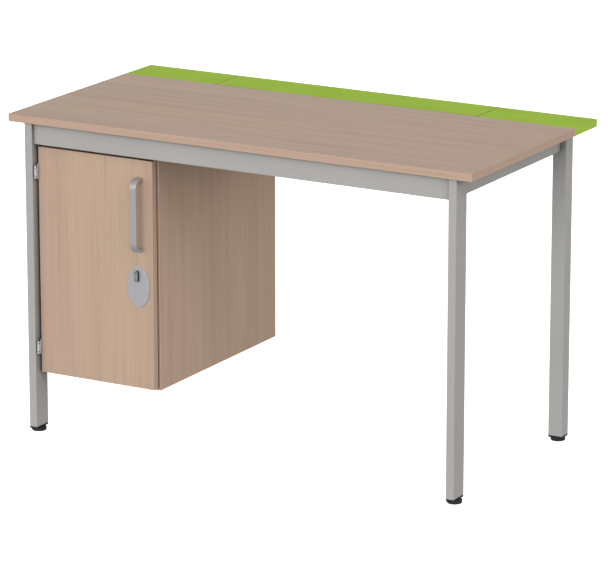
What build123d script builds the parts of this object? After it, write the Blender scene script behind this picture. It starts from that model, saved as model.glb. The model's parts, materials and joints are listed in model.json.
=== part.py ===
from build123d import *
import os

os.makedirs("parts", exist_ok=True)

# Teacher desk. Millimetres, +Z up, +X to the sitter's right, -Y towards the sitter.
# The origin is on the floor, at the centre of the footprint with the door handle included.

# ---- Driving dimensions ----

# Worktop
top_width = 1200.0
top_depth = 620.0
top_height = 760.0
board = 18.0
edge_band = 2.0
band_round = 0.8
band_gap = 0.1
strip_band = 1.0
seam_pocket = 5.0
strip_depth = 115.0
flap_width = 700.0
flap_side_gap = 1.5
flap_front_gap = 1.5

# Leg frame
front_overhang = 5.0
rear_overhang = 40.0
side_overhang = 40.0
front_leg_width = 20.0
front_leg_depth = 50.0
rear_leg_side = 35.0
tube_wall = 1.5
tube_round = 2.0
hole_reach = 4.5
leg_bottom = 13.5
rail_width = 20.0
rail_height = 50.0
front_rail_setback = 8.0
side_rail_setback = 15.0
rear_rail_drop = 3.0
plate_thickness = 3.0
plate_reach_x = 65.0
plate_reach_y = 74.0
rear_plate_reach_y = 88.0
rear_plate_cut = 13.0
front_plate_holes = ((40.0, 10.0), (10.0, 45.0))
rear_plate_holes = ((10.0, 58.0), (25.0, 16.0))

# Levelling feet
glide_radius = 17.3
glide_height = 8.6
glide_round = 2.0
plug_flange = 4.5
plug_depth = 28.0
plug_fit = 0.1
stud_radius = 4.0
stud_bore_fit = 0.08
stud_top = 38.0

# Cabinet
cabinet_left = 75.0
cabinet_right = 378.0
cabinet_rail_screws = (120.0, 460.0)
cabinet_leg_screws = (250.0, 550.0)
cabinet_leg_screw_y = 557.0
cabinet_screw_length = 24.0
shelf_pin_radius = 2.5
shelf_pin_bite = 10.0
shelf_pin_reach = 8.0
shelf_pin_rows = (110.0, 490.0)
cabinet_bottom_z = 140.0
cabinet_front = 44.0
cabinet_rear = 570.0
cabinet_band = 2.0
cabinet_band_round = 1.5
cabinet_top_underside = 668.0
left_side_top = 736.0
rail_notch_front = 543.0
rail_notch_bottom = 687.0
back_thickness = 3.0
back_front = 538.0
groove_depth = 6.0
fit_gap = 0.2
shelf_underside = 404.0
shelf_front = 70.0
shelf_rear = 530.0
shelf_side_gap = 1.0
cam_radius = 7.5
cam_depth = 12.5
cam_offset = 24.0
cam_bolt_radius = 3.5
cam_bolt_bite = 11.0
cam_rows = (95.0, 495.0)

# Door
door_left = 64.0
door_width = 309.0
door_bottom = 145.0
door_height = 540.0
door_front = 24.0
hinge_axis_x = 63.4
hinge_axis_y = 12.0
hinge_rows = (206.6, 626.6)
handle_x = 338.0
handle_width = 18.0
handle_height = 173.0
handle_bottom = 471.5
handle_reach = 30.0
handle_strap = 5.5
handle_foot = 8.0
handle_round = 22.0
handle_inner_round = 16.5
handle_edge_round = 2.2
handle_screw_bite = 14.0
plate_x = 334.0
plate_z = 386.5
plate_half_width = 29.7
plate_half_height = 49.3
plate_depth = 2.0
lock_from_left = 331.5
lock_z = 411.0
nose_half_width = 4.9
nose_bottom = 400.2
nose_top = 425.0
nose_depth = 7.0
lock_fit = 0.05
lock_plug_radius = 3.0
lock_plug_proud = 0.4
lock_barrel_radius = 8.5
lock_case_half = 13.0
lock_case_bottom = 396.0
lock_case_top = 436.0
lock_case_depth = 6.0
case_hole_x = 9.0
case_hole_z = 15.0
plate_round = 1.2
nose_round = 0.8
keyway_width = 1.0
keyway_height = 4.2
keyway_depth = 3.0
lock_tail_radius = 2.2
lock_cam_gap = 1.2
lock_cam_sheet = 2.5
lock_cam_hub = 6.0
lock_cam_width = 9.0
lock_cam_reach = 25.0
rivet_radius = 3.4
rivet_height = 1.0
strike_sheet = 2.0
strike_front = 46.0
strike_rear = 66.0
strike_lip = 10.0
strike_half = 22.0
strike_hole_rise = 12.0
strike_hole_y = 57.0
bumper_gap = 0.3
bumper_radius = 4.0
bumper_rows = (180.0, 660.0)

# Hinges
hinge_pin_radius = 1.5
pin_head_radius = 2.4
pin_head_height = 0.8
knuckle_gap = 0.9
leaf_sheet = 1.5
door_barrel_radius = 3.0
door_barrel_half = 14.5
door_middle_half = 9.2
door_leaf_start = 3.5
door_leaf_shoulder = 11.0
door_leaf_reach = 26.0
door_leaf_half = 20.5
door_leaf_inset = 1.4
door_screw_spots = ((20.0, -13.0), (20.0, 13.0), (16.0, 0.0))
flap_barrel_radius = 2.5
flap_barrel_half = 25.0
flap_middle_half = 12.0
flap_leaf_start = 2.9
flap_leaf_shoulder = 14.0
flap_leaf_reach = 28.0
flap_axis_back = 3.8
flap_axis_drop = 2.8
flap_hinge_columns = (-250.0, 0.0, 250.0)
flap_screw_spots = ((17.0, -16.0), (17.0, 0.0), (17.0, 16.0))
flap_bumper_columns = (-300.0, -120.0, 120.0, 300.0)
flap_bumper_radius = 5.0

# Cable tray and angle brackets
tray_left = -205.0
tray_right = 335.0
tray_front = 470.0
tray_rear = 536.0
tray_bottom = 665.0
tray_rear_top = 732.0
tray_flange = 16.0
tray_sheet = 1.2
tray_screw_columns = (-185.0, -20.0, 150.0, 315.0)
bracket_rows = (120.0, 480.0)
bracket_sheet = 2.0
bracket_leg = 28.0
bracket_width = 20.0
bracket_hole = 18.0

# Fasteners
pan_head_radius = 4.0
pan_head_height = 2.2
pan_radius = 2.0
pan_length = 15.0
sunk_head_radius = 3.1
sunk_radius = 1.6
sunk_head_depth = 1.5
sunk_length = 11.0
slack = 0.05
dowel_radius = 4.0
dowel_half = 15.0
dowel_columns = (40.0, 125.0, 210.0)

# ---- Places worked out from the driving dimensions ----

handle_proud = handle_reach - door_front
x_left = -top_width / 2
x_right = top_width / 2
y_front = -(top_depth - handle_proud) / 2
y_rear = y_front + top_depth
frame_top = top_height - board
strip_front = y_rear - strip_depth
flap_half = flap_width / 2
leg_outer = top_width / 2 - side_overhang
front_leg_inner = leg_outer - front_leg_width
rear_leg_inner = leg_outer - rear_leg_side
leg_front = y_front + front_overhang
front_leg_rear = leg_front + front_leg_depth
rear_leg_rear = y_rear - rear_overhang
rear_leg_front = rear_leg_rear - rear_leg_side
rail_z = frame_top - rail_height / 2
side_rail_x = leg_outer - side_rail_setback - rail_width / 2
side_rail_inner = side_rail_x - rail_width / 2
rear_rail_top = frame_top - rear_rail_drop
front_rail_rear = leg_front + front_rail_setback + rail_width
rear_rail_rear = rear_leg_front + rail_width
low = (Align.MIN, Align.MIN, Align.MIN)
standing = (Align.CENTER, Align.CENTER, Align.MIN)


def across(distance):
    """X of a place measured from the worktop's left edge."""
    return x_left + distance


def back(distance):
    """Y of a place measured from the worktop's front edge."""
    return y_front + distance


def write(part, name):
    part.label = name
    export_step(part, f"parts/{name}.step")


def block(x_low, x_high, y_low, y_high, z_low, z_high, mode=Mode.ADD):
    with Locations((x_low, y_low, z_low)):
        Box(x_high - x_low, y_high - y_low, z_high - z_low, align=low, mode=mode)


def drill(planes, radius, depth):
    """Round holes in the active part, from the planes along their Z."""
    with BuildSketch(*planes) as outlines:
        Circle(radius)
    extrude(outlines.sketch, amount=depth, mode=Mode.SUBTRACT)


def rods(planes, radius, length):
    """Round rods in the active part, from the planes along their Z."""
    with BuildSketch(*planes) as outlines:
        Circle(radius)
    extrude(outlines.sketch, amount=length)


def upright(x, y, z):
    return Plane(origin=(x, y, z), x_dir=(1, 0, 0), z_dir=(0, 0, 1))


def rightward(x, y, z):
    return Plane(origin=(x, y, z), x_dir=(0, 1, 0), z_dir=(1, 0, 0))


def leftward(x, y, z):
    return Plane(origin=(x, y, z), x_dir=(0, -1, 0), z_dir=(-1, 0, 0))


def rearward(x, y, z):
    return Plane(origin=(x, y, z), x_dir=(-1, 0, 0), z_dir=(0, 1, 0))


def forward(x, y, z):
    return Plane(origin=(x, y, z), x_dir=(1, 0, 0), z_dir=(0, -1, 0))


def pan_screws(planes, length):
    """Round-headed screws whose shanks start on the planes and run along their Z."""
    rods(planes, pan_radius, length)
    rods(planes, pan_head_radius, -pan_head_height)


def sunk_screws(planes, grow=0.0, mode=Mode.ADD):
    """Countersunk screws with flush heads, or the holes for them when they are subtracted."""
    with Locations(*[plane.location for plane in planes]):
        Cone(sunk_head_radius + grow, sunk_radius + grow, sunk_head_depth, align=standing, mode=mode)
        Cylinder(sunk_radius + grow, sunk_length, align=standing, mode=mode)


def hinge_leaf(plane, sheet_low, sheet_high, knuckles, size):
    """Leaf along the plane's X, set off along its Y, with knuckles about its Z."""
    radius, barrel_half, start, shoulder, reach, half = size
    for bottom, top in knuckles:
        with BuildSketch(plane.offset(bottom)) as knuckle:
            Circle(radius)
            with Locations((0, sheet_low)):
                Rectangle(start, sheet_high - sheet_low, align=(Align.MIN, Align.MIN))
            Circle(hinge_pin_radius + slack, mode=Mode.SUBTRACT)
        extrude(knuckle.sketch, amount=top - bottom)
    sheet = Plane(origin=plane.origin + plane.y_dir * sheet_low, x_dir=plane.x_dir, z_dir=plane.y_dir)
    with BuildSketch(sheet) as leaf:
        with BuildLine():
            Polyline(
                (start, -barrel_half),
                (shoulder, -half),
                (reach, -half),
                (reach, half),
                (shoulder, half),
                (start, barrel_half),
                close=True,
            )
        make_face()
    extrude(leaf.sketch, amount=sheet_high - sheet_low)


def hinge_pin(plane, barrel_half):
    """Pin along the plane's Z with a flat head past each end knuckle."""
    rods([plane.offset(-barrel_half)], hinge_pin_radius, 2 * barrel_half)
    for end in (-barrel_half - pin_head_height, barrel_half):
        rods([plane.offset(end)], pin_head_radius, pin_head_height)


def end_knuckles(barrel_half, middle_half):
    inner = middle_half + knuckle_gap
    return (-barrel_half, -inner), (inner, barrel_half)


# ---- Hinge places ----

door_size = (
    door_barrel_radius,
    door_barrel_half,
    door_leaf_start,
    door_leaf_shoulder,
    door_leaf_reach,
    door_leaf_half,
)
flap_size = (
    flap_barrel_radius,
    flap_barrel_half,
    flap_leaf_start,
    flap_leaf_shoulder,
    flap_leaf_reach,
    flap_barrel_half,
)
door_axis_x = across(hinge_axis_x)
door_axis_y = back(hinge_axis_y)
leg_inner_x = -front_leg_inner
leg_leaf_face = leg_inner_x + leaf_sheet
door_leaf_face = door_axis_x + door_leaf_inset
door_hinges = [
    Plane(origin=(door_axis_x, door_axis_y, z), x_dir=(0, 1, 0), z_dir=(0, 0, 1)) for z in hinge_rows
]
leg_hinge_screws = []
door_hinge_screws = []
for z in hinge_rows:
    for reach, rise in door_screw_spots:
        leg_hinge_screws.append(leftward(leg_leaf_face, door_axis_y + reach, z + rise))
        door_hinge_screws.append(rightward(door_leaf_face, door_axis_y + reach, z + rise))

flap_axis_y = rear_rail_rear + flap_axis_back
flap_axis_z = frame_top - flap_axis_drop
rail_hinges = []
flap_hinges = []
rail_hinge_screws = []
flap_hinge_screws = []
for x in flap_hinge_columns:
    rail_hinges.append(Plane(origin=(x, flap_axis_y, flap_axis_z), x_dir=(0, 0, -1), z_dir=(1, 0, 0)))
    flap_hinges.append(Plane(origin=(x, flap_axis_y, flap_axis_z), x_dir=(0, 1, 0), z_dir=(1, 0, 0)))
    for reach, shift in flap_screw_spots:
        rail_hinge_screws.append(forward(x + shift, rear_rail_rear + leaf_sheet, flap_axis_z - reach))
        flap_hinge_screws.append(upright(x + shift, flap_axis_y + reach, frame_top - leaf_sheet))

# ---- Cabinet places ----

left_side_outer = across(cabinet_left)
left_side_inner = left_side_outer + board
right_side_outer = across(cabinet_right)
right_side_inner = right_side_outer - board
cabinet_top_z = cabinet_top_underside + board
core_front = back(cabinet_front + cabinet_band)
side_rail_screws = [leftward(-side_rail_inner, back(row), rail_z) for row in cabinet_rail_screws]
rear_leg_screws = [leftward(-rear_leg_inner, back(cabinet_leg_screw_y), z) for z in cabinet_leg_screws]
cabinet_frame_screws_at = [leftward(left_side_inner, back(row), rail_z) for row in cabinet_rail_screws]
for z in cabinet_leg_screws:
    cabinet_frame_screws_at.append(leftward(left_side_inner, back(cabinet_leg_screw_y), z))
door_rear = door_front + board
door_right = door_left + door_width
lock_x = across(lock_from_left)
strike_screws = [
    rightward(right_side_inner - strike_sheet, back(strike_hole_y), lock_z + rise)
    for rise in (-strike_hole_rise, strike_hole_rise)
]
bracket_side_screws = [
    rightward(right_side_inner - bracket_sheet, back(row), frame_top - bracket_hole) for row in bracket_rows
]

# ---- Leg frame ----


def hollow_tube(plane, width, depth, length, holes=(), hole_radius=sunk_radius):
    """Rounded rectangular tube with its section centred on the plane's origin."""
    with BuildPart() as tube:
        with BuildSketch(plane):
            RectangleRounded(width, depth, tube_round)
            Rectangle(width - 2 * tube_wall, depth - 2 * tube_wall, mode=Mode.SUBTRACT)
        extrude(amount=length)
        if holes:
            drill(holes, hole_radius + slack, hole_reach)
    return tube.part


leg_height = frame_top - leg_bottom
front_leg_x = leg_outer - front_leg_width / 2
front_leg_y = leg_front + front_leg_depth / 2
rear_leg_x = leg_outer - rear_leg_side / 2
rear_leg_y = rear_leg_rear - rear_leg_side / 2

for side, sign in (("left", -1), ("right", 1)):
    front_foot = upright(sign * front_leg_x, front_leg_y, leg_bottom)
    holes = leg_hinge_screws if side == "left" else ()
    front_leg = hollow_tube(front_foot, front_leg_width, front_leg_depth, leg_height, holes)
    write(front_leg, f"leg_front_{side}")
    rear_foot = upright(sign * rear_leg_x, rear_leg_y, leg_bottom)
    holes = rear_leg_screws if side == "left" else ()
    rear_leg = hollow_tube(rear_foot, rear_leg_side, rear_leg_side, leg_height, holes, pan_radius)
    write(rear_leg, f"leg_rear_{side}")

front_rail_start = Plane(
    origin=(-front_leg_inner, front_rail_rear - rail_width / 2, rail_z), x_dir=(0, 1, 0), z_dir=(1, 0, 0)
)
front_rail = hollow_tube(front_rail_start, rail_width, rail_height, 2 * front_leg_inner)
write(front_rail, "front_rail")

rear_rail_start = Plane(
    origin=(-rear_leg_inner, rear_leg_front + rail_width / 2, rail_z - rear_rail_drop),
    x_dir=(0, 1, 0),
    z_dir=(1, 0, 0),
)
rear_rail = hollow_tube(rear_rail_start, rail_width, rail_height, 2 * rear_leg_inner, rail_hinge_screws)
write(rear_rail, "rear_rail")

side_rail_length = rear_leg_front - front_leg_rear
for side, sign in (("left", -1), ("right", 1)):
    start = Plane(origin=(sign * side_rail_x, front_leg_rear, rail_z), x_dir=(1, 0, 0), z_dir=(0, 1, 0))
    holes = side_rail_screws if side == "left" else ()
    side_rail = hollow_tube(start, rail_width, rail_height, side_rail_length, holes, pan_radius)
    write(side_rail, f"side_rail_{side}")

# Screws that hold the boards come up through the corner plates, the tray and the brackets.
plate_underside = frame_top - plate_thickness
plate_screws = []
for sign in (-1, 1):
    for inset_x, inset_y in front_plate_holes:
        x = sign * (side_rail_inner - inset_x)
        plate_screws.append(upright(x, front_rail_rear + inset_y, plate_underside))
    for inset_x, inset_y in rear_plate_holes:
        x = sign * (side_rail_inner - inset_x)
        plate_screws.append(upright(x, rear_leg_front - inset_y, plate_underside))

with BuildPart() as corner_plates:
    for sign in (-1, 1):
        corner_x = sign * side_rail_inner
        tip_x = sign * (side_rail_inner - plate_reach_x)
        leg_x = sign * front_leg_inner
        with BuildSketch(Plane.XY.offset(plate_underside)):
            with BuildLine():
                Polyline(
                    (leg_x, front_rail_rear),
                    (tip_x, front_rail_rear),
                    (corner_x, front_rail_rear + plate_reach_y),
                    (corner_x, front_leg_rear),
                    (leg_x, front_leg_rear),
                    close=True,
                )
            make_face()
            with BuildLine():
                Polyline(
                    (corner_x, rear_leg_front - rear_plate_reach_y),
                    (corner_x, rear_rail_rear),
                    (tip_x, rear_rail_rear),
                    (tip_x, rear_leg_front - rear_plate_cut),
                    close=True,
                )
            make_face()
        extrude(amount=plate_thickness)
    drill(plate_screws, pan_radius + slack, plate_thickness)
write(corner_plates.part, "corner_plates")

# ---- Levelling feet ----

feet = {
    "front_left": (-front_leg_x, front_leg_y, front_leg_width, front_leg_depth),
    "front_right": (front_leg_x, front_leg_y, front_leg_width, front_leg_depth),
    "rear_left": (-rear_leg_x, rear_leg_y, rear_leg_side, rear_leg_side),
    "rear_right": (rear_leg_x, rear_leg_y, rear_leg_side, rear_leg_side),
}

with BuildPart() as foot_plugs:
    for x, y, width, depth in feet.values():
        inner_width = width - 2 * tube_wall - 2 * plug_fit
        inner_depth = depth - 2 * tube_wall - 2 * plug_fit
        with BuildSketch(upright(x, y, leg_bottom - plug_flange)):
            RectangleRounded(width, depth, tube_round)
        extrude(amount=plug_flange)
        with BuildSketch(upright(x, y, leg_bottom)):
            Rectangle(inner_width, inner_depth)
        extrude(amount=plug_depth)
        bore = upright(x, y, leg_bottom - plug_flange)
        drill([bore], stud_radius + stud_bore_fit, plug_flange + plug_depth)
write(foot_plugs.part, "foot_plugs")

for corner, (x, y, width, depth) in feet.items():
    with BuildPart() as glide:
        with BuildSketch(upright(x, y, 0)):
            Circle(glide_radius)
        extrude(amount=glide_height)
        fillet(glide.edges().filter_by(GeomType.CIRCLE), glide_round)
        drill([upright(x, y, glide_round)], stud_radius, glide_height)
    write(glide.part, f"glide_{corner}")
    with BuildPart() as stud:
        rods([upright(x, y, glide_round)], stud_radius, stud_top - glide_round)
        chamfer(stud.edges().sort_by(Axis.Z)[-1], stud_radius / 4)
    write(stud.part, f"stud_{corner}")

# ---- Worktop, end panels and flap ----


tray_flange_y = back(tray_front - tray_flange / 2)
tray_screws = [upright(x, tray_flange_y, frame_top - tray_sheet) for x in tray_screw_columns]
bracket_top_screws = [
    upright(right_side_inner - bracket_hole, back(row), frame_top - bracket_sheet) for row in bracket_rows
]
board_middle = frame_top + board / 2
dowel_starts = []
for sign in (-1, 1):
    for inset in dowel_columns:
        dowel_starts.append(rearward(sign * (top_width / 2 - inset), strip_front - dowel_half, board_middle))

with BuildPart() as worktop:
    block(x_left + edge_band, x_right - edge_band, y_front + edge_band, strip_front, frame_top, top_height)
    drill(plate_screws + tray_screws + bracket_top_screws, pan_radius + slack, pan_length + slack)
    drill(dowel_starts, dowel_radius + slack, 2 * dowel_half)
write(worktop.part, "worktop")

with BuildPart() as worktop_edge_bands:
    block(x_left, x_right, y_front, y_front + edge_band, frame_top, top_height)
    side_start = y_front + edge_band + band_gap
    block(x_left, x_left + edge_band, side_start, strip_front, frame_top, top_height)
    block(x_right - edge_band, x_right, side_start, strip_front, frame_top, top_height)
    outer = worktop_edge_bands.edges().filter_by(Axis.X).group_by(Axis.Y)[0]
    fillet(outer, band_round)
    sides = worktop_edge_bands.edges().filter_by(Axis.Y)
    fillet(sides.group_by(Axis.X)[0] + sides.group_by(Axis.X)[-1], band_round)
    block(-flap_half, flap_half, strip_front, strip_front + strip_band, frame_top, top_height)
write(worktop_edge_bands.part, "worktop_edge_bands")

for side, sign in (("left", -1), ("right", 1)):
    inner = sign * (flap_half + edge_band)
    outer = sign * (top_width / 2 - edge_band)
    with BuildPart() as end_panel:
        block(min(inner, outer), max(inner, outer), strip_front, y_rear - edge_band, frame_top, top_height)
        drill(plate_screws, pan_radius + slack, pan_length + slack)
        drill(dowel_starts, dowel_radius + slack, 2 * dowel_half + slack)
    write(end_panel.part, f"end_panel_{side}")

with BuildPart() as end_panel_edge_bands:
    for sign in (-1, 1):
        outer = sign * top_width / 2
        inner = sign * flap_half
        outer_face = outer - sign * edge_band
        inner_face = inner + sign * edge_band
        side_end = y_rear - edge_band - band_gap
        block(min(outer, outer_face), max(outer, outer_face), strip_front, side_end, frame_top, top_height)
        pocket_end = strip_front + seam_pocket
        block(min(inner, inner_face), max(inner, inner_face), pocket_end, side_end, frame_top, top_height)
        block(min(inner, outer), max(inner, outer), y_rear - edge_band, y_rear, frame_top, top_height)
    rear_edges = end_panel_edge_bands.edges().filter_by(Axis.X).group_by(Axis.Y)[-1]
    fillet(rear_edges, band_round)
    side_edges = end_panel_edge_bands.edges().filter_by(Axis.Y)
    fillet(side_edges.group_by(Axis.X)[0] + side_edges.group_by(Axis.X)[-1], band_round)
write(end_panel_edge_bands.part, "end_panel_edge_bands")

with BuildPart() as end_panel_dowels:
    rods(dowel_starts, dowel_radius, 2 * dowel_half)
write(end_panel_dowels.part, "end_panel_dowels")

flap_x = flap_half - flap_side_gap
flap_front = strip_front + strip_band + flap_front_gap
with BuildPart() as flap:
    half = flap_x - edge_band
    block(-half, half, flap_front + edge_band, y_rear - edge_band, frame_top, top_height)
    drill(flap_hinge_screws, sunk_radius + slack, sunk_length)
write(flap.part, "flap")

with BuildPart() as flap_edge_bands:
    block(-flap_x, flap_x, flap_front, flap_front + edge_band, frame_top, top_height)
    block(-flap_x, flap_x, y_rear - edge_band, y_rear, frame_top, top_height)
    for end in (-flap_x, flap_x - edge_band):
        side_start = flap_front + edge_band + band_gap
        block(end, end + edge_band, side_start, y_rear - edge_band - band_gap, frame_top, top_height)
    fillet(flap_edge_bands.edges().filter_by(Axis.X).group_by(Axis.Y)[-1], band_round)
write(flap_edge_bands.part, "flap_edge_bands")

with BuildPart() as flap_hinge_rail_leaves:
    for place in rail_hinges:
        rail_face = -flap_axis_back
        knuckles = end_knuckles(flap_barrel_half, flap_middle_half)
        hinge_leaf(place, rail_face, rail_face + leaf_sheet, knuckles, flap_size)
    sunk_screws(rail_hinge_screws, slack, Mode.SUBTRACT)
write(flap_hinge_rail_leaves.part, "flap_hinge_rail_leaves")

with BuildPart() as flap_hinge_flap_leaves:
    for place in flap_hinges:
        knuckles = ((-flap_middle_half, flap_middle_half),)
        hinge_leaf(place, flap_axis_drop - leaf_sheet, flap_axis_drop, knuckles, flap_size)
    sunk_screws(flap_hinge_screws, slack, Mode.SUBTRACT)
write(flap_hinge_flap_leaves.part, "flap_hinge_flap_leaves")

with BuildPart() as flap_hinge_pins:
    for place in rail_hinges:
        hinge_pin(place, flap_barrel_half)
write(flap_hinge_pins.part, "flap_hinge_pins")

with BuildPart() as flap_screws:
    sunk_screws(flap_hinge_screws)
write(flap_screws.part, "flap_hinge_screws")

with BuildPart() as flap_bumpers:
    middle_y = rear_rail_rear - rail_width / 2
    bumper_places = [upright(x, middle_y, rear_rail_top) for x in flap_bumper_columns]
    rods(bumper_places, flap_bumper_radius, rear_rail_drop - bumper_gap)
write(flap_bumpers.part, "flap_bumpers")

# ---- Cable tray ----

with BuildPart() as cable_tray:
    wall_front = back(tray_front)
    wall_rear = back(tray_rear)
    block(tray_left, tray_right, wall_front - tray_flange, wall_front, frame_top - tray_sheet, frame_top)
    block(tray_left, tray_right, wall_front, wall_front + tray_sheet, tray_bottom, frame_top)
    block(tray_left, tray_right, wall_front, wall_rear, tray_bottom, tray_bottom + tray_sheet)
    block(tray_left, tray_right, wall_rear - tray_sheet, wall_rear, tray_bottom, tray_rear_top)
    drill(tray_screws, pan_radius + slack, tray_sheet)
write(cable_tray.part, "cable_tray")

# ---- Cabinet ----

cam_bolt_starts = []
cam_places = []
for bolt_z, cam_z, rise in (
    (cabinet_bottom_z + board / 2, cabinet_bottom_z, 1),
    (cabinet_top_z - board / 2, cabinet_top_z, -1),
):
    for row in cam_rows:
        y = back(row)
        cam_bolt_starts.append(rightward(left_side_inner - cam_bolt_bite, y, bolt_z))
        cam_bolt_starts.append(leftward(right_side_inner + cam_bolt_bite, y, bolt_z))
        for x in (left_side_inner + cam_offset, right_side_inner - cam_offset):
            cam_places.append(Plane(origin=(x, y, cam_z), x_dir=(1, 0, 0), z_dir=(0, 0, rise)))
cam_bolt_length = cam_bolt_bite + cam_offset - cam_radius
pin_starts = []
for row in shelf_pin_rows:
    pin_z = shelf_underside - shelf_pin_radius
    pin_starts.append(rightward(left_side_inner - shelf_pin_bite, back(row), pin_z))
    pin_starts.append(leftward(right_side_inner + shelf_pin_bite, back(row), pin_z))

for side, outer, inner, side_top in (
    ("left", left_side_outer, left_side_inner, left_side_top),
    ("right", right_side_outer, right_side_inner, frame_top),
):
    into_board = 1 if outer > inner else -1
    with BuildPart() as cabinet_side:
        block(min(outer, inner), max(outer, inner), core_front, back(cabinet_rear), cabinet_bottom_z, side_top)
        block(
            min(outer, inner),
            max(outer, inner),
            back(rail_notch_front),
            back(cabinet_rear),
            rail_notch_bottom,
            frame_top,
            Mode.SUBTRACT,
        )
        groove_floor = inner + into_board * groove_depth
        block(
            min(inner, groove_floor),
            max(inner, groove_floor),
            back(back_front),
            back(back_front + back_thickness + fit_gap),
            cabinet_bottom_z + board - groove_depth,
            cabinet_top_underside + groove_depth,
            Mode.SUBTRACT,
        )
        drill(cam_bolt_starts, cam_bolt_radius + slack, cam_bolt_bite)
        drill(pin_starts, shelf_pin_radius + slack, shelf_pin_bite)
        if side == "left":
            drill(cabinet_frame_screws_at, pan_radius + slack, board)
        else:
            drill(strike_screws + bracket_side_screws, pan_radius + slack, pan_length + slack)
    write(cabinet_side.part, f"cabinet_side_{side}")

for name, underside, groove_bottom in (
    ("cabinet_bottom", cabinet_bottom_z, cabinet_bottom_z + board - groove_depth),
    ("cabinet_top", cabinet_top_underside, cabinet_top_underside),
):
    with BuildPart() as shelf_board:
        block(left_side_inner, right_side_inner, core_front, back(cabinet_rear), underside, underside + board)
        block(
            left_side_inner,
            right_side_inner,
            back(back_front),
            back(back_front + back_thickness + fit_gap),
            groove_bottom,
            groove_bottom + groove_depth,
            Mode.SUBTRACT,
        )
        drill(cam_places, cam_radius + slack, cam_depth)
        drill(cam_bolt_starts, cam_bolt_radius + slack, cam_bolt_length)
    write(shelf_board.part, name)

with BuildPart() as cabinet_back:
    edge = groove_depth - fit_gap
    block(
        left_side_inner - edge,
        right_side_inner + edge,
        back(back_front),
        back(back_front + back_thickness),
        cabinet_bottom_z + board - edge,
        cabinet_top_underside + edge,
    )
write(cabinet_back.part, "cabinet_back")

shelf_left = left_side_inner + shelf_side_gap
shelf_right = right_side_inner - shelf_side_gap
with BuildPart() as cabinet_shelf:
    block(
        shelf_left, shelf_right, back(shelf_front), back(shelf_rear), shelf_underside, shelf_underside + board
    )
write(cabinet_shelf.part, "cabinet_shelf")

with BuildPart() as shelf_pins:
    rods(pin_starts, shelf_pin_radius, shelf_pin_bite + shelf_pin_reach)
write(shelf_pins.part, "shelf_pins")

with BuildPart() as cabinet_edge_bands:
    band_front = back(cabinet_front)
    block(left_side_outer, left_side_inner, band_front, core_front, cabinet_bottom_z, left_side_top)
    block(right_side_inner, right_side_outer, band_front, core_front, cabinet_bottom_z, frame_top)
    for underside in (cabinet_bottom_z, cabinet_top_underside):
        band_left = left_side_inner + band_gap
        band_right = right_side_inner - band_gap
        block(band_left, band_right, band_front, core_front, underside, underside + board)
    block(
        shelf_left,
        shelf_right,
        back(shelf_front - cabinet_band),
        back(shelf_front),
        shelf_underside,
        shelf_underside + board,
    )
    columns = cabinet_edge_bands.edges().filter_by(Axis.Z).group_by(Axis.Y)[0].group_by(Axis.X)
    fillet(columns[0] + columns[-1], cabinet_band_round)
write(cabinet_edge_bands.part, "cabinet_edge_bands")

with BuildPart() as cabinet_cams:
    rods(cam_places, cam_radius, cam_depth)
write(cabinet_cams.part, "cabinet_cams")

with BuildPart() as cabinet_cam_bolts:
    rods(cam_bolt_starts, cam_bolt_radius, cam_bolt_length)
write(cabinet_cam_bolts.part, "cabinet_cam_bolts")

with BuildPart() as cabinet_frame_screws:
    pan_screws(cabinet_frame_screws_at, cabinet_screw_length)
write(cabinet_frame_screws.part, "cabinet_frame_screws")

with BuildPart() as cabinet_brackets:
    for row in bracket_rows:
        y_low = back(row) - bracket_width / 2
        y_high = back(row) + bracket_width / 2
        face = right_side_inner
        block(face - bracket_leg, face, y_low, y_high, frame_top - bracket_sheet, frame_top)
        block(face - bracket_sheet, face, y_low, y_high, frame_top - bracket_leg, frame_top)
    drill(bracket_top_screws, pan_radius + slack, bracket_sheet)
    drill(bracket_side_screws, pan_radius + slack, bracket_sheet)
write(cabinet_brackets.part, "cabinet_brackets")

# ---- Door ----

door_x_low = across(door_left)
door_x_high = across(door_right)
door_top = door_bottom + door_height
door_y = back(door_front)
door_y_rear = back(door_rear)
handle_screw_z = (handle_bottom + handle_foot / 2, handle_bottom + handle_height - handle_foot / 2)
handle_screws_at = [forward(across(handle_x), door_y_rear, z) for z in handle_screw_z]
case_middle = (lock_case_bottom + lock_case_top) / 2
case_screws_at = []
for shift in (-case_hole_x, case_hole_x):
    for rise in (-case_hole_z, case_hole_z):
        case_screws_at.append(forward(lock_x + shift, door_y_rear + lock_case_depth, case_middle + rise))


def mortises():
    """Pockets for the hinge leaves in the door's left edge."""
    for z in hinge_rows:
        block(
            door_x_low,
            door_leaf_face + leaf_sheet + slack,
            door_y,
            door_axis_y + door_leaf_reach + slack,
            z - door_leaf_half - slack,
            z + door_leaf_half + slack,
            Mode.SUBTRACT,
        )


with BuildPart() as door_panel:
    block(
        door_x_low + edge_band,
        door_x_high - edge_band,
        door_y,
        door_y_rear,
        door_bottom + edge_band,
        door_top - edge_band,
    )
    mortises()
    drill(door_hinge_screws, sunk_radius + slack, sunk_length)
    drill(case_screws_at, sunk_radius + slack, sunk_length)
    drill(handle_screws_at, pan_radius + slack, board)
    drill([rearward(lock_x, door_y, lock_z)], lock_barrel_radius + slack, board)
write(door_panel.part, "door_panel")

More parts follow.
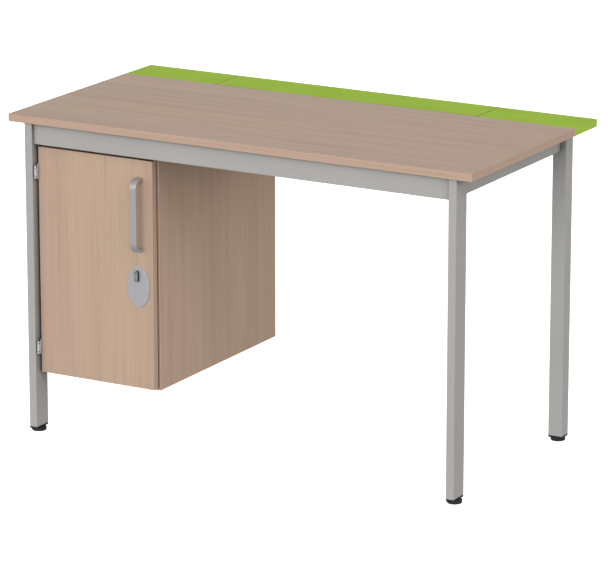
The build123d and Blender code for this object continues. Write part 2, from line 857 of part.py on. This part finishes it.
with BuildPart() as door_edge_bands:
    for x in (door_x_low, door_x_high - edge_band):
        block(x, x + edge_band, door_y, door_y_rear, door_bottom, door_top)
    for z in (door_bottom, door_top - edge_band):
        inset = edge_band + band_gap
        block(door_x_low + inset, door_x_high - inset, door_y, door_y_rear, z, z + edge_band)
    outer_sides = door_edge_bands.edges().filter_by(Axis.Z).group_by(Axis.X)
    fillet(outer_sides[0] + outer_sides[-1], band_round)
    mortises()
write(door_edge_bands.part, "door_edge_bands")

with BuildPart() as hinge_leg_leaves:
    for place in door_hinges:
        outer_face = door_axis_x - leg_inner_x
        knuckles = end_knuckles(door_barrel_half, door_middle_half)
        hinge_leaf(place, outer_face - leaf_sheet, outer_face, knuckles, door_size)
    sunk_screws(leg_hinge_screws, slack, Mode.SUBTRACT)
write(hinge_leg_leaves.part, "hinge_leg_leaves")

with BuildPart() as hinge_door_leaves:
    for place in door_hinges:
        knuckles = ((-door_middle_half, door_middle_half),)
        hinge_leaf(place, -door_leaf_inset - leaf_sheet, -door_leaf_inset, knuckles, door_size)
    sunk_screws(door_hinge_screws, slack, Mode.SUBTRACT)
write(hinge_door_leaves.part, "hinge_door_leaves")

with BuildPart() as hinge_pins:
    for place in door_hinges:
        hinge_pin(place, door_barrel_half)
write(hinge_pins.part, "hinge_pins")

with BuildPart() as frame_screws:
    sunk_screws(leg_hinge_screws + rail_hinge_screws)
write(frame_screws.part, "frame_screws")

with BuildPart() as door_screws:
    sunk_screws(door_hinge_screws + case_screws_at)
write(door_screws.part, "door_screws")

# ---- Handle ----

with BuildPart() as handle:
    with BuildSketch(rightward(across(handle_x) - handle_width / 2, door_y, handle_bottom)):
        with BuildLine():
            Polyline(
                (0, 0),
                (-handle_reach, 0),
                (-handle_reach, handle_height),
                (0, handle_height),
                close=True,
            )
        make_face()
        with BuildLine():
            Polyline(
                (0, handle_foot),
                (-handle_reach + handle_strap, handle_foot),
                (-handle_reach + handle_strap, handle_height - handle_foot),
                (0, handle_height - handle_foot),
                close=True,
            )
        make_face(mode=Mode.SUBTRACT)
    extrude(amount=handle_width)
    fillet(handle.edges().filter_by(Axis.X).group_by(Axis.Y)[1], handle_inner_round)
    fillet(handle.edges().filter_by(Axis.X).group_by(Axis.Y)[0], handle_round)
    side_edges = handle.faces().filter_by(Axis.X).edges()
    fillet(side_edges.filter_by(lambda edge: edge.center().Y < door_y - slack), handle_edge_round)
    drill([forward(across(handle_x), door_y, z) for z in handle_screw_z], pan_radius + slack, handle_screw_bite)
write(handle.part, "handle")

with BuildPart() as handle_screws:
    pan_screws(handle_screws_at, board + handle_screw_bite)
write(handle_screws.part, "handle_screws")

# ---- Lock ----


def nose_outline(grow):
    """Arch-topped outline of the lock's nose, about the lock's axis."""
    arch_z = nose_top - nose_half_width - lock_z
    width = 2 * (nose_half_width + grow)
    with Locations((0, arch_z)):
        Circle(nose_half_width + grow)
    with Locations((0, nose_bottom - lock_z - grow)):
        Rectangle(width, arch_z + lock_z - nose_bottom + grow, align=(Align.CENTER, Align.MIN))


with BuildPart() as escutcheon:
    with BuildSketch(forward(across(plate_x), door_y, plate_z)):
        Ellipse(plate_half_width, plate_half_height)
    extrude(amount=plate_depth)
    fillet(escutcheon.faces().sort_by(Axis.Y)[0].edges(), plate_round)
    with BuildSketch(forward(lock_x, door_y, lock_z)):
        nose_outline(slack)
    extrude(amount=plate_depth, mode=Mode.SUBTRACT)
write(escutcheon.part, "escutcheon")

with BuildPart() as lock_body:
    with BuildSketch(forward(lock_x, door_y, lock_z)):
        nose_outline(0)
    extrude(amount=plate_depth + nose_depth)
    fillet(lock_body.faces().sort_by(Axis.Y)[0].edges(), nose_round)
    rods([rearward(lock_x, door_y, lock_z)], lock_barrel_radius, board)
    block(
        lock_x - lock_case_half,
        lock_x + lock_case_half,
        door_y_rear,
        door_y_rear + lock_case_depth,
        lock_case_bottom,
        lock_case_top,
    )
    bore_start = door_y - plate_depth - nose_depth
    bore_length = door_y_rear + lock_case_depth - bore_start
    drill([rearward(lock_x, bore_start, lock_z)], lock_plug_radius + lock_fit, bore_length)
    sunk_screws(case_screws_at, slack, Mode.SUBTRACT)
write(lock_body.part, "lock_body")

plug_start = bore_start - lock_plug_proud
plug_end = door_y_rear + lock_case_depth + lock_plug_proud
cam_front = door_y_rear + lock_case_depth + lock_cam_gap
with BuildPart() as lock_plug:
    rods([rearward(lock_x, plug_start, lock_z)], lock_plug_radius, plug_end - plug_start)
    chamfer(lock_plug.edges().sort_by(Axis.Y)[0], lock_plug_proud)
    rods([rearward(lock_x, plug_end, lock_z)], lock_tail_radius, cam_front + lock_cam_sheet - plug_end)
    rods([rearward(lock_x, cam_front + lock_cam_sheet, lock_z)], rivet_radius, rivet_height)
    with Locations((lock_x, plug_start, lock_z)):
        Box(keyway_width, 2 * keyway_depth, keyway_height, mode=Mode.SUBTRACT)
write(lock_plug.part, "lock_plug")

with BuildPart() as lock_cam:
    with BuildSketch(rearward(lock_x, cam_front, lock_z)):
        Circle(lock_cam_hub)
        Rectangle(lock_cam_width, lock_cam_reach, align=(Align.CENTER, Align.MIN))
        Circle(lock_tail_radius + slack, mode=Mode.SUBTRACT)
    extrude(amount=lock_cam_sheet)
write(lock_cam.part, "lock_cam")

with BuildPart() as lock_strike:
    face = right_side_inner
    z_low = lock_z - strike_half
    z_high = lock_z + strike_half
    block(face - strike_lip, face, back(strike_front), back(strike_front) + strike_sheet, z_low, z_high)
    block(face - strike_sheet, face, back(strike_front), back(strike_rear), z_low, z_high)
    drill(strike_screws, pan_radius + slack, strike_sheet)
write(lock_strike.part, "lock_strike")

with BuildPart() as door_bumpers:
    bumper_x = (right_side_inner + door_x_high) / 2
    bumper_starts = [forward(bumper_x, back(cabinet_front), z) for z in bumper_rows]
    rods(bumper_starts, bumper_radius, cabinet_front - door_rear - bumper_gap)
write(door_bumpers.part, "door_bumpers")

with BuildPart() as panel_screws:
    pan_screws(plate_screws + tray_screws + bracket_top_screws, pan_length)
    pan_screws(bracket_side_screws + strike_screws, pan_length)
write(panel_screws.part, "panel_screws")
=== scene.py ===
import json
import math
from typing import NamedTuple

import bpy
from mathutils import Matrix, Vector

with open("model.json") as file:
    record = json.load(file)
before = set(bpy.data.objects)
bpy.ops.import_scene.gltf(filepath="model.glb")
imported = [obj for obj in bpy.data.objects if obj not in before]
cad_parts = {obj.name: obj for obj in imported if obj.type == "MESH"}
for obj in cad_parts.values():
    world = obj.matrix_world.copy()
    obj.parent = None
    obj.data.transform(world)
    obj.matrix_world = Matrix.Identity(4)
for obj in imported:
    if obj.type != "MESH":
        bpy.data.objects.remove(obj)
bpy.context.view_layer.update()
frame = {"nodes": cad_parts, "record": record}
nodes = frame["nodes"]
slot_of = {part["node"]: part["material_slot"] for part in frame["record"]["subparts"]}

# Lengths are in metres, and noise scales in cycles per metre.

# ---- Nodes ----

MIX_FACTOR, MIX_FIRST, MIX_SECOND, MIX_COLOUR = 0, 6, 7, 2
# Samples of the ambient occlusion that places painted shade.
PAINTED_SHADE_SAMPLES = 8
EDGE_SAMPLES = 4
EDGE_FULL = 0.6
FACES_AXIS = 0.5
RELIEF_DEPTH = 0.0002
FINE_RELIEF_DEPTH = 0.0001


def add_node(tree, kind, inputs=None, **settings):
    """A node with its settings, whose inputs get a value or a link each."""
    made = tree.nodes.new(kind)
    for key, value in settings.items():
        setattr(made, key, value)
    for key, value in (inputs or {}).items():
        if isinstance(value, bpy.types.NodeSocket):
            tree.links.new(value, made.inputs[key])
        else:
            made.inputs[key].default_value = value
    return made


class Finish:
    """One procedural material: a Principled surface and the nodes that feed it."""

    def __init__(self, name, roughness=0.5, metallic=0.0, specular=0.5):
        self.material = bpy.data.materials.new(name)
        self.material.use_nodes = True
        self.tree = self.material.node_tree
        self.tree.nodes.clear()
        surface_values = {
            "Roughness": roughness,
            "Metallic": metallic,
            "Specular IOR Level": specular,
        }
        self.surface = self.add("ShaderNodeBsdfPrincipled", surface_values)
        self.add("ShaderNodeOutputMaterial", {"Surface": self.surface.outputs["BSDF"]})
        where = self.add("ShaderNodeTexCoord")
        self.place = where.outputs["Object"]
        self.facing = where.outputs["Normal"]

    def add(self, kind, inputs=None, **settings):
        return add_node(self.tree, kind, inputs, **settings)

    def maths(self, operation, *values):
        made = self.add("ShaderNodeMath", dict(enumerate(values)), operation=operation)
        return made.outputs["Value"]

    def stretched(self, scale):
        """The object's coordinates, scaled differently along each axis."""
        made = self.add("ShaderNodeMapping", {"Vector": self.place, "Scale": scale})
        return made.outputs["Vector"]

    def noise(self, vector, scale=1.0, detail=2.0, roughness=0.5, distortion=0.0):
        inputs = {
            "Vector": vector,
            "Scale": scale,
            "Detail": detail,
            "Roughness": roughness,
            "Distortion": distortion,
        }
        return self.add("ShaderNodeTexNoise", inputs).outputs["Fac"]

    def spread(self, value, start, full, low=0.0, high=1.0):
        """The value's range from start to full, spread over low to high."""
        inputs = {
            "Value": value,
            "From Min": start,
            "From Max": full,
            "To Min": low,
            "To Max": high,
        }
        return self.add("ShaderNodeMapRange", inputs, clamp=True).outputs["Result"]

    def mix(self, factor, first, second):
        inputs = {MIX_FACTOR: factor, MIX_FIRST: first, MIX_SECOND: second}
        return self.add("ShaderNodeMix", inputs, data_type="RGBA").outputs[MIX_COLOUR]

    def shade(self, body, pattern, start, full, amount, colour):
        """The body, turned towards a colour where the pattern goes from start to full."""
        return self.mix(self.spread(pattern, start, full, high=amount), body, colour)

    def faces(self, axis):
        """1 on faces that look along the axis and 0 on the others."""
        parts = self.add("ShaderNodeSeparateXYZ", {"Vector": self.facing})
        size = self.maths("ABSOLUTE", parts.outputs[axis])
        return self.maths("GREATER_THAN", size, FACES_AXIS)

    def painted_crevice_shade(self, reach, closed=0.3, clear=0.8, amount=1.0):
        """The amount of painted shade in narrow slits and corners, and 0 in the open."""
        # Ambient occlusion finds narrow slits and corners, where shade falls, and the callers
        # darken their colour there: painted shade.
        made = self.add("ShaderNodeAmbientOcclusion", {"Distance": reach}, samples=PAINTED_SHADE_SAMPLES)
        return self.spread(made.outputs["AO"], clear, closed, high=amount)

    def rounded(self, radius):
        """The normal that the surface would have with its sharp edges rounded."""
        made = self.add("ShaderNodeBevel", {"Radius": radius}, samples=EDGE_SAMPLES)
        return made.outputs["Normal"]

    def edges(self, radius, amount):
        """The amount of painted highlight along each sharp edge, and 0 on flat faces."""
        # The bevel's normal bends away from the flat one near each sharp edge, where the callers
        # paint a highlight.
        flat = self.add("ShaderNodeNewGeometry").outputs["True Normal"]
        inputs = {0: self.rounded(radius), 1: flat}
        product = self.add("ShaderNodeVectorMath", inputs, operation="DOT_PRODUCT")
        turn = self.maths("SUBTRACT", 1.0, product.outputs["Value"])
        return self.spread(turn, 0.0, EDGE_FULL, high=amount)

    def surface_input(self, name, socket):
        self.tree.links.new(socket, self.surface.inputs[name])

    def relief(self, height, strength, depth=RELIEF_DEPTH, rounding=None):
        inputs = {"Height": height, "Strength": strength, "Distance": depth}
        if rounding:
            inputs["Normal"] = self.rounded(rounding)
        made = self.add("ShaderNodeBump", inputs)
        self.surface_input("Normal", made.outputs["Normal"])


def srgb(red, green, blue):
    """A colour given as sRGB from 0 to 255, in the linear values that a node takes."""

    def linear(value):
        value /= 255
        return value / 12.92 if value <= 0.04045 else ((value + 0.055) / 1.055) ** 2.4

    return (linear(red), linear(green), linear(blue), 1.0)


def along(axis, lengthwise, crosswise):
    """The scales of a pattern that is drawn out along one axis."""
    scale = [crosswise] * 3
    scale["XYZ".index(axis)] = lengthwise
    return scale


# ---- Beech laminate ----


class Grain(NamedTuple):
    """A layer of grain: its noise, and the share of dark that it adds from start to full."""

    lengthwise: float
    crosswise: float
    detail: float
    roughness: float
    distortion: float
    start: float
    full: float
    dark: float


BROAD = Grain(0.7, 11, 2, 0.4, 0.0, start=0.35, full=0.65, dark=0.0)
TINT = Grain(0.9, 30, 2, 0.5, 0.0, start=0.45, full=0.7, dark=0.38)
STREAKS = Grain(1.3, 62, 3, 0.6, 0.2, start=0.52, full=0.74, dark=0.6)
LINES = Grain(3.2, 300, 3, 0.6, 0.3, start=0.52, full=0.72, dark=0.85)
FLECKS = Grain(90, 1400, 1, 0.5, 0.0, start=0.6, full=0.7, dark=0.4)
BEECH_LIGHT = srgb(189, 163, 141)
BEECH_PINK = srgb(187, 160, 142)
BEECH_DARK = srgb(168, 144, 123)
BEECH_PAINTED_SHADE = srgb(50, 36, 28)
BEECH_SPECULAR = 0.08
BOARD_GRAIN = 0.8
BAND_GRAIN = 0.6


def beech_tone(look, axis, pink, strength):
    """Colour, fine relief and streaks of beech with its grain along one axis."""
    patterns = {}
    for layer in (BROAD, TINT, STREAKS, LINES, FLECKS):
        patterns[layer] = look.noise(
            look.stretched(along(axis, layer.lengthwise, layer.crosswise)),
            detail=layer.detail,
            roughness=layer.roughness,
            distortion=layer.distortion,
        )
    body = look.mix(look.spread(patterns[BROAD], BROAD.start, BROAD.full), BEECH_LIGHT, pink)
    for layer in (TINT, STREAKS, LINES, FLECKS):
        dark = layer.dark * strength
        body = look.shade(body, patterns[layer], layer.start, layer.full, dark, BEECH_DARK)
    return body, look.maths("ADD", patterns[LINES], patterns[FLECKS]), patterns[STREAKS]


def beech_surface(look, body, relief, streaks):
    look.surface_input("Base Color", body)
    look.surface_input("Roughness", look.spread(streaks, 0.3, 0.7, low=0.46, high=0.56))
    look.relief(relief, strength=0.08, rounding=0.0006)
    return look.material


def beech(name, axis, pink=BEECH_PINK):
    """A beech board with its grain along one axis."""
    look = Finish(name, specular=BEECH_SPECULAR)
    body, relief, streaks = beech_tone(look, axis, pink, BOARD_GRAIN)
    return beech_surface(look, body, relief, streaks)


def beech_bands(name, axis, other, turned):
    """Beech edge bands, with the grain along the other axis on faces that look along "turned"."""
    look = Finish(name, specular=BEECH_SPECULAR)
    body, relief, streaks = beech_tone(look, axis, BEECH_PINK, BAND_GRAIN)
    other_body = beech_tone(look, other, BEECH_PINK, BAND_GRAIN)[0]
    body = look.mix(look.faces(turned), body, other_body)
    # Painted shade: the bands turn dark brown in narrow slits and corners, such as the door's top
    # under the rail.
    painted_shade = look.painted_crevice_shade(reach=0.02, closed=0.3, clear=0.75, amount=0.85)
    return beech_surface(look, look.mix(painted_shade, body, BEECH_PAINTED_SHADE), relief, streaks)


# ---- Other finishes ----

CHIP_LIGHT = srgb(150, 112, 78)
CHIP_DARK = srgb(104, 74, 50)
GREEN_PAINTED_SHADE = srgb(58, 40, 24)
PAINT_EDGE_HIGHLIGHT = srgb(184, 184, 182)
FRAME_PAINTED_SHADE = srgb(74, 75, 76)
METAL_PAINTED_SHADE = srgb(34, 30, 28)
ZINC_LIGHT = srgb(176, 178, 180)
ZINC_DARK = srgb(140, 143, 146)
ZINC_EDGE_HIGHLIGHT = srgb(210, 212, 214)
FIBRE_LIGHT = srgb(206, 199, 189)
FIBRE_DARK = srgb(184, 174, 160)
FIBRE_STAIN = srgb(190, 181, 168)
RUBBER_LIGHT = srgb(205, 205, 202)
RUBBER_DARK = srgb(180, 180, 176)


def green_laminate(name, base, deep, core=False):
    """Green laminate. With a core, it is chipboard on faces that don't look up or down."""
    look = Finish(name, specular=0.005)
    cloud = look.noise(look.place, scale=9, detail=3)
    grit = look.noise(look.place, scale=900)
    body = look.shade(base, cloud, 0.35, 0.7, 0.5, deep)
    body = look.shade(body, grit, 0.55, 0.75, 0.25, deep)
    if core:
        chips = look.noise(look.stretched((260, 260, 700)), detail=3)
        board = look.mix(look.spread(chips, 0.35, 0.65), CHIP_LIGHT, CHIP_DARK)
        body = look.mix(look.faces("Z"), board, body)
    # Painted shade: the laminate turns dark brown in narrow slits and corners.
    painted_shade = look.painted_crevice_shade(reach=0.006, amount=0.9)
    look.surface_input("Base Color", look.mix(painted_shade, body, GREEN_PAINTED_SHADE))
    look.surface_input("Roughness", look.spread(cloud, 0.3, 0.7, low=0.44, high=0.56))
    look.relief(grit, strength=0.1, rounding=0.0006)
    return look.material


def powder_coat(name, base, deep):
    look = Finish(name, specular=0.3)
    cloud = look.noise(look.place, scale=5, detail=3)
    peel = look.noise(look.place, scale=650)
    sparkle = look.noise(look.place, scale=2600, detail=1)
    body = look.shade(base, cloud, 0.3, 0.75, 0.5, deep)
    body = look.shade(body, sparkle, 0.5, 0.75, 0.35, deep)
    # Painted highlight: each sharp edge of the frame turns lighter, as rounded corners catch the
    # light.
    body = look.mix(look.edges(radius=0.0012, amount=0.45), body, PAINT_EDGE_HIGHLIGHT)
    # Painted shade: the paint turns dark grey in slits and corners where shade falls.
    painted_shade = look.painted_crevice_shade(reach=0.03, closed=0.35, clear=0.88, amount=0.8)
    look.surface_input("Base Color", look.mix(painted_shade, body, FRAME_PAINTED_SHADE))
    look.surface_input("Roughness", look.spread(peel, 0.3, 0.7, low=0.36, high=0.5))
    look.relief(peel, strength=0.12, rounding=0.0008)
    return look.material


def moulded(name, base, tone_and_edge_highlight, roughness=0.5, face=None):
    """Moulded plastic or a casting, with another colour on its front and back if face is set."""
    look = Finish(name, specular=0.45)
    grain = look.noise(look.place, scale=1400)
    cloud = look.noise(look.place, scale=40)
    body = look.shade(base, cloud, 0.4, 0.7, 0.4, tone_and_edge_highlight)
    if face:
        front = look.mix(look.spread(cloud, 0.3, 0.7), face, tone_and_edge_highlight)
        body = look.mix(look.faces("Y"), body, front)
    # Painted highlight: each sharp edge turns towards the lighter colour, as if catching the
    # light.
    body = look.mix(look.edges(radius=0.0008, amount=0.5), body, tone_and_edge_highlight)
    look.surface_input("Base Color", body)
    smooth, rough = roughness - 0.06, roughness + 0.1
    look.surface_input("Roughness", look.spread(cloud, 0.3, 0.7, low=smooth, high=rough))
    look.relief(grain, strength=0.15, rounding=0.0004)
    return look.material


def brushed(name, base, deep, roughness, metallic, shade_reach=0.003):
    """Metal with fine upright strokes."""
    look = Finish(name, metallic=metallic)
    strokes = look.noise(look.stretched(along("Z", 30, 2200)), roughness=0.6)
    cloud = look.noise(look.place, scale=60)
    body = look.shade(base, strokes, 0.35, 0.7, 0.6, deep)
    body = look.shade(body, cloud, 0.4, 0.75, 0.35, deep)
    # Painted shade: the metal turns near black in slits and corners, such as between the hinge's
    # knuckles.
    look.surface_input("Base Color", look.mix(look.painted_crevice_shade(shade_reach), body, METAL_PAINTED_SHADE))
    smooth, rough = roughness - 0.06, roughness + 0.08
    look.surface_input("Roughness", look.spread(strokes, 0.3, 0.7, low=smooth, high=rough))
    look.relief(strokes, strength=0.1, depth=FINE_RELIEF_DEPTH, rounding=0.0003)
    return look.material


def zinc(name):
    look = Finish(name, metallic=1.0)
    flakes = look.add("ShaderNodeTexVoronoi", {"Vector": look.place, "Scale": 420})
    grain = look.noise(look.place, scale=800, detail=3)
    body = look.shade(ZINC_LIGHT, flakes.outputs["Distance"], 0.0, 0.8, 0.5, ZINC_DARK)
    # Painted highlight: each sharp edge turns lighter, as if catching the light.
    body = look.mix(look.edges(radius=0.0005, amount=0.6), body, ZINC_EDGE_HIGHLIGHT)
    look.surface_input("Base Color", body)
    look.surface_input("Roughness", look.spread(grain, 0.3, 0.7, low=0.28, high=0.45))
    look.relief(grain, strength=0.08, depth=FINE_RELIEF_DEPTH)
    return look.material


def pressed_board(name):
    look = Finish(name, roughness=0.6, specular=0.3)
    fibre = look.noise(look.place, scale=700, detail=3)
    cloud = look.noise(look.place, scale=12)
    body = look.shade(FIBRE_LIGHT, fibre, 0.4, 0.7, 0.5, FIBRE_DARK)
    body = look.shade(body, cloud, 0.4, 0.7, 0.3, FIBRE_STAIN)
    look.surface_input("Base Color", body)
    look.relief(fibre, strength=0.12)
    return look.material


def rubber(name):
    look = Finish(name)
    cloud = look.noise(look.place, scale=300)
    body = look.mix(look.spread(cloud, 0.3, 0.7), RUBBER_LIGHT, RUBBER_DARK)
    look.surface_input("Base Color", body)
    look.surface_input("Roughness", look.spread(cloud, 0.3, 0.7, low=0.3, high=0.45))
    look.surface.inputs["Transmission Weight"].default_value = 0.35
    look.relief(cloud, strength=0.05, depth=FINE_RELIEF_DEPTH)
    return look.material


# ---- Which piece has which finish ----

finishes = {
    "top": beech("beech_top", "X"),
    "top_bands": beech_bands("beech_top_bands", "X", other="Y", turned="X"),
    "upright": beech("beech_upright", "Z"),
    "upright_bands": beech_bands("beech_upright_bands", "Z", other="X", turned="Z"),
    "beech_dowel": beech("beech_dowel", "Y", pink=BEECH_LIGHT),
    "frame_paint": powder_coat("frame_paint", srgb(170, 168, 165), srgb(162, 160, 158)),
    "green_laminate": green_laminate(
        "green_laminate", srgb(168, 202, 68), srgb(160, 193, 64), core=True
    ),
    "green_edge": green_laminate("green_edge", srgb(168, 198, 80), srgb(160, 188, 75)),
    "black_plastic": moulded("black_plastic", srgb(8, 8, 8), srgb(22, 22, 22)),
    "glide_plastic": moulded("glide_plastic", srgb(26, 27, 25), srgb(52, 53, 49)),
    "zinc_steel": zinc("zinc_steel"),
    # The hinge's wide reach paints shade into the dark slit between its barrel and the door.
    "hinge_nickel": brushed(
        "hinge_nickel", srgb(222, 222, 222), srgb(196, 196, 197), 0.35, 0.4, shade_reach=0.016
    ),
    "satin_aluminium": brushed(
        "satin_aluminium", srgb(173, 170, 168), srgb(160, 158, 157), 0.42, 0.35
    ),
    "oval_plate": brushed("oval_plate", srgb(179, 179, 184), srgb(168, 168, 174), 0.42, 0.35),
    "lock_dark": moulded(
        "lock_dark", srgb(44, 46, 48), srgb(88, 90, 92), 0.35, face=srgb(132, 133, 134)
    ),
    "lock_chrome": brushed("lock_chrome", srgb(196, 196, 196), srgb(176, 176, 176), 0.3, 0.5),
    "hardboard": pressed_board("hardboard"),
    "clear_rubber": rubber("clear_rubber"),
}

# Beech pieces that aren't listed here are upright boards.
beech_nodes = {
    "worktop": "top",
    "cabinet_bottom": "top",
    "cabinet_top": "top",
    "cabinet_shelf": "top",
    "worktop_edge_bands": "top_bands",
    "cabinet_edge_bands": "upright_bands",
    "door_edge_bands": "upright_bands",
}
for name, cad in nodes.items():
    slot = slot_of[name]
    if slot in ("beech_laminate", "beech_edge"):
        slot = beech_nodes.get(name, "upright")
    elif name == "escutcheon":
        slot = "oval_plate"
    cad.data.materials.clear()
    cad.data.materials.append(finishes[slot])

# ---- Floor ----

FLOOR_REACH = 40.0
FLOOR_LEVEL = -0.0002
FLOOR_WHITE = (0.9, 0.9, 0.9, 1.0)
FLOOR_ROUGHNESS = 0.9
FLOOR_GLOW = 0.85
PURE_WHITE = (1.0, 1.0, 1.0, 1.0)

white = bpy.data.materials.new("floor_white")
white.use_nodes = True
paper = white.node_tree.nodes["Principled BSDF"]
paper.inputs["Base Color"].default_value = FLOOR_WHITE
paper.inputs["Roughness"].default_value = FLOOR_ROUGHNESS
paper.inputs["Emission Color"].default_value = PURE_WHITE
paper.inputs["Emission Strength"].default_value = FLOOR_GLOW
signs = ((-1, -1), (1, -1), (1, 1), (-1, 1))
corners = [(x * FLOOR_REACH, y * FLOOR_REACH, FLOOR_LEVEL) for x, y in signs]
floor_mesh = bpy.data.meshes.new("floor")
floor_mesh.from_pydata(corners, [], [(0, 1, 2, 3)])
floor_mesh.materials.append(white)
floor = bpy.data.objects.new("floor", floor_mesh)
bpy.context.scene.collection.objects.link(floor)
# The lower half of the world lights the desk's undersides, so the floor doesn't shade it.
floor.visible_diffuse = False
floor.visible_glossy = False
floor.visible_shadow = False

# ---- Studio ----

# The studio's walls glow more than what is below the horizon, and its ceiling least. Each
# span is the height of a direction's unit vector over which one glow fades to the next.
BELOW_GLOW, WALL_GLOW, CEILING_GLOW = 0.34, 1.91, 0.31
WALL_SPAN = (-0.05, 0.05)
CEILING_SPAN = (0.3, 0.5)
LIGHT_TARGET = (0.0, 0.0, 0.4)

world = bpy.data.worlds.new("studio")
world.use_nodes = True
sky_tree = world.node_tree
sky = sky_tree.nodes["Background"]
direction = add_node(sky_tree, "ShaderNodeTexCoord").outputs["Generated"]
height = add_node(sky_tree, "ShaderNodeSeparateXYZ", {"Vector": direction}).outputs["Z"]


def fade(span, low_glow, high_glow):
    inputs = {
        "Value": height,
        "From Min": span[0],
        "From Max": span[1],
        "To Min": low_glow,
        "To Max": high_glow,
    }
    return add_node(sky_tree, "ShaderNodeMapRange", inputs).outputs["Result"]


walls = fade(WALL_SPAN, BELOW_GLOW, WALL_GLOW)
ceiling = fade(CEILING_SPAN, 0.0, CEILING_GLOW - WALL_GLOW)
glow = add_node(sky_tree, "ShaderNodeMath", {0: walls, 1: ceiling}, operation="ADD")
sky_tree.links.new(glow.outputs["Value"], sky.inputs["Strength"])
sky.inputs["Color"].default_value = PURE_WHITE
bpy.context.scene.world = world
bpy.context.scene.view_settings.view_transform = "Standard"


def soft_light(name, position, size, power):
    lamp = bpy.data.lights.new(name, "AREA")
    lamp.shape = "DISK"
    lamp.size = size
    lamp.energy = power
    made = bpy.data.objects.new(name, lamp)
    made.location = position
    aim = Vector(LIGHT_TARGET) - Vector(position)
    made.rotation_euler = aim.to_track_quat("-Z", "Y").to_euler()
    bpy.context.scene.collection.objects.link(made)


soft_light("front_softbox", position=(-0.6, -11.58, 3.51), size=7.0, power=480)
soft_light("right_softbox", position=(7.35, -4.24, 8.89), size=5.0, power=244)

# ---- Camera ----

SENSOR_MM = 36.0
LENS_MM = 235.84
CAMERA_PLACE = (4.425, -7.729, 2.777)
CAMERA_DOWN_DEGREES = 15.17
CAMERA_LEFT_DEGREES = 29.75
CAMERA_REACH = 100.0

lens = bpy.data.cameras.new("camera")
lens.sensor_width = SENSOR_MM
lens.lens = LENS_MM
lens.clip_end = CAMERA_REACH
camera = bpy.data.objects.new("camera", lens)
camera.location = CAMERA_PLACE
tilt = math.radians(90 - CAMERA_DOWN_DEGREES)
camera.rotation_euler = (tilt, 0.0, math.radians(CAMERA_LEFT_DEGREES))
bpy.context.scene.collection.objects.link(camera)
bpy.context.scene.camera = camera
